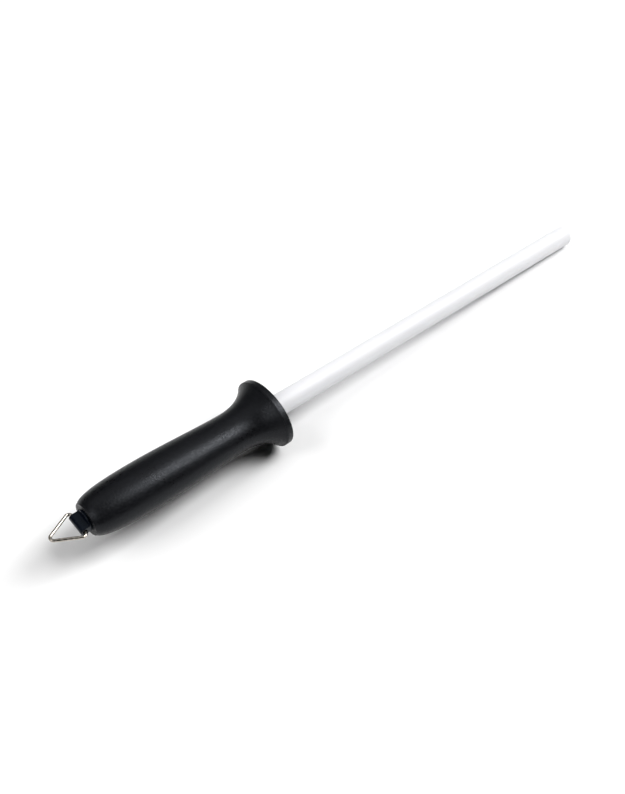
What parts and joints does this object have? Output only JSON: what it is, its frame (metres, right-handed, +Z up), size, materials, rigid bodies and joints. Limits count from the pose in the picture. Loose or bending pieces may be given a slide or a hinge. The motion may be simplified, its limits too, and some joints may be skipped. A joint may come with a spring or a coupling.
{
  "type": "knife sharpening steel",
  "caption": "White ceramic honing rod in a flared, oval black plastic handle, with a swivelling eye and a triangular wire hanging ring at the butt.",
  "frame": {"origin": "centre of the base of the object's box, on the surface that it lies on", "axes": "+X runs along the steel towards the rod's tip, +Y across it, +Z up; the steel lies on the guard's edge and the rod's tip, so its own axis dips 2.6 degrees towards the tip"},
  "size_m": [0.389, 0.0444, 0.0357],
  "materials": {
    "white_ceramic": "fine matt ground surface, unglazed",
    "cured_adhesive": "cured epoxy, dull",
    "handle_plastic": "satin moulded plastic with a fine grain",
    "eye_plastic": "smooth moulded plastic, a blue-black",
    "plated_steel": "zinc plated",
    "ring_wire": "bright plated wire with a warm tint"
  },
  "bodies": {
    "handle": {"handle": "handle_plastic", "ceramic_rod": "white_ceramic", "rod_bond": "cured_adhesive"},
    "eye": {"swivel_eye": "eye_plastic", "eye_washer": "plated_steel", "eye_screw": "plated_steel"},
    "ring": {"hanging_ring": "ring_wire"}
  },
  "joints": [
    {"name": "eye_swivel", "type": "hinge", "parent": "handle", "child": "eye", "pos_m": [-0.17752, 0, 0.0233], "axis": [0.999, 0, -0.0457], "continuous": true},
    {"name": "ring_hinge", "type": "hinge", "parent": "eye", "child": "ring", "pos_m": [-0.17752, 0, 0.0233], "axis": [0.0048, 0.9945, 0.1044], "range_deg": [-110, 90]}
  ]
}
